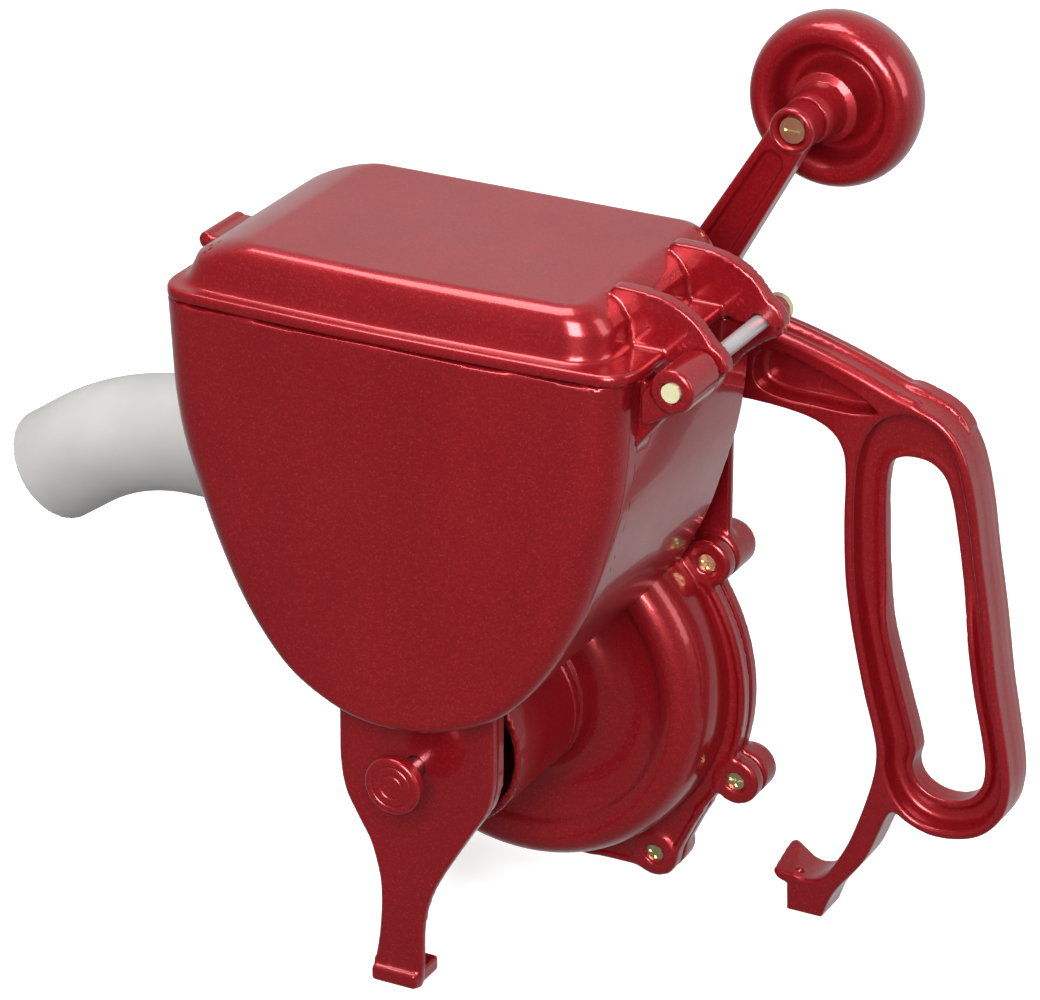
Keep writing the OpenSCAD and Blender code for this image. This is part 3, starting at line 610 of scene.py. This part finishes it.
def lid(x, y, z):
    bx = bow(x)
    rim2 = rrect(x, y, -74.4, 75.5, 0.0, 94.0, 14.0)
    front = bx - y
    rim2 = smax(rim2, front, 4.0)
    rim = slab2(rim2, z - 1.85, 1.85, 1.2)
    d = dome(x, y, z, 0.0)
    rt = 4.2
    top = z - 18.0
    a, b = d + rt, top + rt
    dm = np.minimum(np.maximum(a, b), 0) + np.hypot(np.maximum(a, 0), np.maximum(b, 0)) - rt
    dm = np.maximum(dm, 1.0 - z)
    f = smin(rim, dm, 3.0)
    f = smin(f, box3(x, y, z, -81.4, -64, 38.6, 60.8, 1.2, 5.6, 2.0), 1.6)
    f = smin(f, np.maximum(np.hypot(x + 79.6, z - 4.4) - 1.9, np.abs(y - 49.6) - 10.0), 1.0)
    for y0 in (27.0, 64.0):
        e = ext(ear2(x, z), y, y0, y0 + 5.0, 0.7)
        e = smin(e, ext(circ(x, z, PN, 7.7), y, y0, y0 + 5.0, 0.7), 0.8)
        f = smin(f, e, 2.2)
    # the hollow inside, open at the underside
    di = dome(x, y, z, 2.5)
    ri = 4.0
    a, b = di + ri, (z - 15.3) + ri
    inn = np.minimum(np.maximum(a, b), 0) + np.hypot(np.maximum(a, 0), np.maximum(b, 0)) - ri
    f = smax(f, -inn, 0.6)
    f = np.maximum(f, -z)
    f = np.maximum(f, -np.maximum(np.hypot(x - PN[0], z - PN[1]) - 2.46, np.abs(y - 50) - 25))
    f = np.maximum(f, (z - 20.0))
    return f

# ------------------------------------------------------------------ nozzle
BX, BR, BA = -117.5, 79.0, math.radians(34)
def nozzle_line(x, y, z):
    """distance from the bent centre line, and the length along it"""
    ax, az = x - BX, z - (TZ - BR)
    ang = np.arctan2(-ax, az)
    rad = np.hypot(ax, az)
    dx, dz = -math.cos(BA), -math.sin(BA)
    ex, ez = BX - BR * math.sin(BA), TZ - BR + BR * math.cos(BA)
    u = (x - ex) * dx + (z - ez) * dz
    v = (x - ex) * -dz + (z - ez) * dx
    d = np.where(ang < 0, np.hypot(z - TZ, y - TY), np.where(ang > BA, np.hypot(v, y - TY), np.hypot(rad - BR, y - TY)))
    s = np.where(ang < 0, BX - x, np.where(ang > BA, BR * BA + u, BR * np.clip(ang, 0, BA)))
    return d, s

def nozzle(x, y, z):
    d, s = nozzle_line(x, y, z)
    s1 = BR * BA + 13.65
    s0 = -39.5
    wall = slab2(np.abs(d - 17.5) - 1.0, s - (s1 + s0) / 2, (s1 - s0) / 2, 0.9)
    # a soft rim at the end
    rim = np.hypot(d - 17.5, s - (s1 - 1.6)) - 1.15
    f = smin(wall, rim, 1.2)
    return np.maximum(np.maximum(f, d - 18.5), 16.5 - d)

# ------------------------------------------------------------------ feed knob
def feed_knob(x, y, z):
    r = np.hypot(x - F[0], z - F[1])
    f = slab2(r - 8.95, y - 0.3, 2.25, 1.1)
    f = smin(f, slab2(r - 5.5, y - 3.0, 2.4, 0.3), 0.8)
    for rr in (3.6, 6.4):
        f = smax(f, -(np.hypot(r - rr, y + 2.0) - 0.34), 0.3)
    f = smin(f, np.sqrt(r * r + (y + 1.2) ** 2) - 0.95, 0.5)
    f = np.maximum(f, -2.0 - y)
    f = np.maximum(f, -np.maximum(r - 3.05, 1.5 - y))
    return f

# ------------------------------------------------------------------ handle
HO = [(43.6, -20), (43.6, -20), (60, -20), (73, -22), (88, -26), (100, -30), (110, -33.8), (118, -36.1), (123.9, -38.4), (128.9, -42.5), (132.4, -48), (134.9, -55), (137.3, -66), (139.4, -80), (142.5, -98), (145.8, -120), (148.6, -134), (150.5, -144), (151.3, -152),
      (150, -160.4), (146.5, -166.3), (141.7, -170.4), (134.3, -173), (126.2, -173.4), (119.2, -171.2), (116.2, -169.4), (114.4, -168.8), (112.6, -170.6), (109.6, -178), (105.9, -187), (101.6, -193.4), (98, -198), (94.5, -204), (92.2, -210.5), (92.2, -210.5), (80.5, -210.5), (80.5, -210.5), (80.2, -201.4), (80.2, -201.4), (77.6, -200.7), (76.0, -199.0),
      (75.7, -196.4), (76.0, -194.2), (77.4, -193.4), (79.6, -194.6), (82.2, -196.6), (84.6, -198), (87.4, -198.3), (90.2, -197.6), (93.4, -195.2), (96.6, -189.8), (100.2, -182.6), (105, -168.6), (107.8, -157), (108.2, -149.5), (107, -143), (104, -132.5), (101, -120), (98.5, -108),
      (96.5, -95), (95.5, -76), (95.5, -62), (94.6, -54.5), (91.5, -49.5), (85.5, -46.2), (71, -44), (43.6, -44), (43.6, -44)]
HSL = [(107.8, -57.2), (111, -55.3), (115, -54.7), (119.9, -55.5), (124.0, -58.7), (126.4, -64), (129.3, -78), (132.3, -97), (134.4, -109.7), (137.1, -125.5), (140.6, -141.3), (141.7, -149.5), (140.9, -155),
       (137.8, -159.6), (132.2, -162), (126, -161.6), (121, -158.6), (118.9, -153.8), (119.7, -148.6), (118.7, -143.6), (116, -134.5), (112.1, -121.3), (108.8, -108.8), (107.2, -94.4), (106.3, -79), (106.3, -62)]
han_o = poly(crom(HO, 5))
han_s = poly(crom(HSL, 5))
HIN = [(98.7, -62), (100, -53), (102.6, -46.6), (107.2, -41.4), (114, -38.9), (120.6, -40.2), (125.8, -43.4), (129.8, -49.8), (132, -57), (134.3, -67), (136.6, -81), (139.7, -99), (142.9, -120.5), (145.6, -134.7), (147.6, -144.7), (148.3, -152), (147.1, -159.3), (144.3, -164), (140.5, -167.4), (133.6, -170), (126.4, -170.4), (119.8, -168.1), (114.9, -163), (111.7, -155.5), (111.3, -148.5), (110, -142.4), (107, -131.6), (104, -119.3), (101.5, -107.5), (99.5, -94.5), (98.5, -76)]
han_c = poly(crom(HIN, 5))
han_t = poly(crom([(66.5, -29.5), (71, -26.6), (84, -29.4), (94, -33.2), (103, -37.8), (105.2, -39.9), (99, -41.4), (86, -41.4), (72, -40.6), (66.5, -37.5)], 5))

def handle(x, y, z):
    o = han_o(x, z)
    s = han_s(x, z)
    c = han_c(x, z)
    t = han_t(x, z)
    back = 123.0 - 1.5 * np.clip((-110 - z) / 60.0, 0, 1)
    # rim round the grip, solid arm and strut
    rim = smax(o, -c, 1.2)
    f = slab2(rim, y - 117.0, 10.0, 1.25)
    f = smax(f, -slab2(t, y - 102.0, 12.0, 2.0), 0.9)
    f = smax(f, -slab2(t, y - 131.5, 12.0, 2.0), 0.9)
    f = smax(f, y - back, 1.6)
    # web set back between the two faces, curving up into the rim
    web = slab2(np.maximum(c - 1.5, -s), y - 116.2, 2.2, 0.9)
    f = smin(f, web, 4.2)
    # lip round the lower part of the slot
    low = np.clip((-88 - z) / 26.0, 0, 1)
    low = low * low * (3 - 2 * low)
    lipw = 2.6
    lip = slab2(np.maximum(s - lipw, -s), y - (116.2 - 1.6 * low), 2.2 + 1.6 * low, 0.9)
    f = smin(f, lip, 2.4)
    f = smax(f, -s, 0.9)
    # beads along the top of the arm, running into the rim
    arm = np.maximum(x - 116.0, 46.0 - x)
    arm = np.maximum(arm, -46.5 - z)
    up = np.maximum(arm, 0)
    b1 = np.sqrt((o + 0.9) ** 2 + (y - 109.6) ** 2 + up ** 2) - 2.1
    b2 = np.sqrt((o + 0.9) ** 2 + (y - 117.4) ** 2 + up ** 2) - 2.1
    top = np.clip((z + 0.28 * x + 14.0) / 3.0, 0, 1)
    f = smin(f, np.minimum(b1, b2) + 6.0 * (1 - top), 1.4)
    # raised pad on the outer corner
    pe = np.maximum(np.abs(x - 121.0) - 6.0, 0)
    pad = slab2(o - 1.4 + 0.06 * pe ** 2, y - 119.2, 3.4, 1.0)
    pad = np.maximum(pad, np.maximum(-44.0 - z, np.abs(x - 121.0) - 10.0))
    f = smin(f, pad, 1.6)
    # upturned lip of the foot, cut back towards the front
    f = smax(f, np.minimum(np.where((x < 86) & (z > -200) & (z < -180), (z + 197.9) - (y - 107.0) * 0.32, -50.0), 50.0), 1.0)
    # small boss inside the foot
    f = smin(f, np.sqrt((x - 83.5) ** 2 + (z + 197.6) ** 2 + (y - 110.5) ** 2) - 1.3, 0.8)
    for q in HS:
        f = np.maximum(f, -np.maximum(circ(x, z, q, 1.78), y - 119.0))
    return f

# ------------------------------------------------------------------ crank
ca, sa = math.cos(ARM_A), math.sin(ARM_A)
def along(t, n=0.0):
    return (K[0] + ca * t - sa * n, K[1] + sa * t + ca * n)

def crank_arm(x, y, z):
    u = (x - K[0]) * ca + (z - K[1]) * sa
    v = -(x - K[0]) * sa + (z - K[1]) * ca
    o = seg2(x, z, K, E, 9.5, 6.2)
    f = slab2(o, y - 138.0, 4.0, 1.3)
    f = smin(f, ext(circ(x, z, K, 11), y, 132.6, 142, 1.2), 1.5)
    f = smin(f, ext(circ(x, z, E, 7.0), y, 133.0, 143.0, 1.4), 1.5)
    chn = seg2(x, z, along(19), along(100.4), 5.6, 3.9)
    f = smax(f, -slab2(chn, y - 127.0, 10.0, 2.2), 0.9)
    f = np.maximum(f, -circ(x, z, K, 4.03))
    rE = np.hypot(x - E[0], z - E[1])
    f = smax(f, -np.maximum(rE - 4.6 - np.clip(135.0 - y, 0, 3) * 0.45, y - 136.0), 0.8)
    f = np.maximum(f, -circ(x, z, E, 2.53))
    return f

KP = [(0, 143.5), (0, 143.5), (7.2, 143.5), (7.2, 143.5), (7.9, 147), (8.3, 155.4), (8.3, 155.4), (10.9, 156.6), (10.9, 156.6), (11.5, 162.4), (13.4, 166.4), (15.9, 166.0), (17.0, 163), (17.8, 160), (19.6, 157.8), (22.2, 157.1), (24.6, 158.3), (26.3, 161.6), (26.9, 166), (26.4, 170), (24.5, 175.4),
      (20.4, 180.4), (14, 184.2), (7, 185.8), (0, 186), (0, 186)]
kn2 = poly(crom(KP, 4))
def crank_knob(x, y, z):
    r = np.hypot(x - E[0], z - E[1])
    f = kn2(r, y)
    f = np.maximum(f, -np.maximum(r - 2.58, y - 174.0))
    return f

solid("cover_moulding", front_cover, (-75.2, 0, -210.5), (73, 27, 0), 1.25, "root", ["front_cover"], RED)
solid("hopper_moulding", hopper_body, (-75.2, 8, -119.5), (93, 94, 7), 1.45, "root", ["hopper_body"], RED)
solid("blower_moulding", blower_housing, (-68.5, 26, -203.5), (75, 101.6, -69), 1.15, "root", ["blower_housing"], RED)
solid("back_moulding", rear_casing, (-68.5, 98, -210.5), (75, 123, -14), 1.35, "root", ["rear_casing"], RED)
solid("gear_cover_moulding", gear_cover, (-31, 118, -152), (44, 131, -29), 1.1, "root", ["gear_cover"], RED)
solid("handle_moulding", handle, (43.5, 107, -210.5), (151.6, 123, -19), 0.9, "root", ["handle"], RED)
solid("lid_moulding", lid, (-83, 0, -7.5), (94.6, 94, 20), 1.15, "lid", ["lid"], RED)
solid("nozzle_elbow", nozzle, (-184, 78, -141), (-78, 116, -69.5), 0.75, "nozzle", ["nozzle"], GREY)
solid("feed_button", feed_knob, (-5.5, -2, -145.1), (12.6, 5.4, -127), 0.35, "feed", ["feed_knob"], RED)
solid("crank_lever", crank_arm, (-5, 132.6, -78), (70, 143, 39), 0.7, "crank", ["crank_arm"], RED)
solid("grip_wheel", crank_knob, (34.7, 143.4, 3.9), (90.9, 186, 60), 0.75, "grip", ["crank_knob"], RED)

# ------------------------------------------------------------------ carried-over parts
def pin_metal():
    """bare drawn steel whose peened head is a paler yellow"""
    m, nt, b, sp = new_mat("hinge_rod_steel")
    sy = node(nt, "ShaderNodeSeparateXYZ")
    nt.links.new(sp, sy.inputs["Vector"])
    grain = noise(nt, sp, 260, 4, 0.6, (1, 0.08, 1))
    tone = ramp(nt, grain, [(0.25, (0.40, 0.40, 0.41)), (0.75, (0.58, 0.58, 0.58))])
    head = ramp(nt, grain, [(0.25, (0.88, 0.85, 0.46)), (0.75, (0.96, 0.94, 0.62))])
    mx = node(nt, "ShaderNodeMix", data_type="RGBA")
    edge = (OY + 8.6) / 1000
    nt.links.new(spread(nt, sy.outputs["Y"], 1.0, 0.0, edge, edge + 0.0004), mx.inputs[0])
    nt.links.new(tone, mx.inputs[6])
    nt.links.new(head, mx.inputs[7])
    nt.links.new(mx.outputs[2], b.inputs["Base Color"])
    b.inputs["Metallic"].default_value = 0.5
    nt.links.new(spread(nt, grain, 0.25, 0.42), b.inputs["Roughness"])
    bump(nt, b, [(grain, 0.12, 0.00005)])
    return m
PIN = pin_metal()

OWN = {"casing_gasket": RUBBER, "handle_screws": STEEL, "housing_screws": ZINC, "gear_cover_screws": ZINC, "hinge_pin": PIN, "hinge_pin_cap": ZINC,
       "discharge_tube": GREY, "idler_shaft": STEEL, "crank_bushes": BRONZE, "shaft_seal": RUBBER, "fan_bushes": BRONZE, "feed_rod": STEEL, "feed_valve": GREY,
       "crank_shaft": STEEL, "crank_gear": NYLON, "agitator": STEEL, "crank_ring": STEEL, "crank_nut": STEEL, "knob_axle": STEEL, "axle_screw": ZINC,
       "idler_gear": NYLON, "idler_pinion": NYLON, "fan_shaft": STEEL, "fan_pinion": NYLON, "impeller": FAN}
for n, m in OWN.items():
    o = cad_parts[n]
    o.data.materials.clear()
    o.data.materials.append(m)

# ------------------------------------------------------------------ stage, lights, camera
def plane(name, size, loc, mat):
    me = bpy.data.meshes.new(name)
    s = size / 2
    me.from_pydata([(-s, -s, 0), (s, -s, 0), (s, s, 0), (-s, s, 0)], [], [(0, 1, 2, 3)])
    me.materials.append(mat)
    o = bpy.data.objects.new(name, me)
    o.location = loc
    bpy.context.scene.collection.objects.link(o)
    return o

def floor_mat():
    m, nt, b, co = new_mat("studio_floor")
    nt.links.new(ramp(nt, noise(nt, co, 3, 2), [(0.3, 0.88), (0.7, 0.9)]), b.inputs["Base Color"])
    b.inputs["Roughness"].default_value = 0.9
    b.inputs["Specular IOR Level"].default_value = 0.1
    b.inputs["Emission Color"].default_value = (1, 1, 1, 1)
    b.inputs["Emission Strength"].default_value = 0.6
    return m

floor = plane("floor", 12.0, (0, 0, cad_lo[2] - 0.0004), floor_mat())
floor.visible_diffuse = False
floor.visible_glossy = False

w = bpy.data.worlds.new("studio")
bpy.context.scene.world = w
w.use_nodes = True
wt = w.node_tree
bg = wt.nodes["Background"]
tc = node(wt, "ShaderNodeTexCoord")
sx = node(wt, "ShaderNodeSeparateXYZ")
wt.links.new(tc.outputs["Generated"], sx.inputs["Vector"])
# bright behind the object, dim in front of it
mr = node(wt, "ShaderNodeMapRange")
mr.inputs["From Min"].default_value = -1
mr.inputs["From Max"].default_value = 1
wt.links.new(sx.outputs["Y"], mr.inputs["Value"])
wr = node(wt, "ShaderNodeValToRGB")
we = wr.color_ramp.elements
while len(we) < 4:
    we.new(0.5)
for el, (p, c) in zip(we, [(0.0, 0.16), (0.45, 0.19), (0.74, 0.46), (1.0, 0.68)]):
    el.position = p
    el.color = (c, c, c, 1)
wt.links.new(mr.outputs["Result"], wr.inputs["Fac"])
wt.links.new(wr.outputs["Color"], bg.inputs["Color"])
bg.inputs["Strength"].default_value = 1.0

def area(name, loc, target, sx_, sy_, power, col=(1, 1, 1)):
    l = bpy.data.lights.new(name, "AREA")
    l.shape = "RECTANGLE"
    l.size, l.size_y = sx_, sy_
    l.energy = power
    l.color = col
    o = bpy.data.objects.new(name, l)
    o.location = loc
    d = Vector(target) - Vector(loc)
    o.rotation_euler = d.to_track_quat("-Z", "Y").to_euler()
    bpy.context.scene.collection.objects.link(o)
    return o

bpy.context.scene.view_settings.view_transform = "Standard"
area("key_front", (0.5, -1.25, 0.85), (0, 0, 0.10), 0.8, 0.8, 32)
area("key_top", (-0.25, -0.15, 1.3), (0, 0, 0.12), 0.7, 0.7, 11)
area("side_right", (1.3, 0.25, 0.75), (0, 0, 0.12), 0.5, 1.0, 5)

cam = bpy.data.cameras.new("camera")
co = bpy.data.objects.new("camera", cam)
bpy.context.scene.collection.objects.link(co)
azr, elr = math.radians(27.6), math.radians(24.5)
back = Vector((math.sin(azr) * math.cos(elr), -math.cos(azr) * math.cos(elr), math.sin(elr)))
co.location = Vector(((604.5 + OX) / 1000, (-1071.1 + OY) / 1000, (513.9 + OZ) / 1000))
co.rotation_euler = (-back).to_track_quat("-Z", "Y").to_euler()
cam.lens = 166.15
cam.sensor_width = 36.0
cam.clip_start = 0.05
cam.clip_end = 50
bpy.context.scene.camera = co
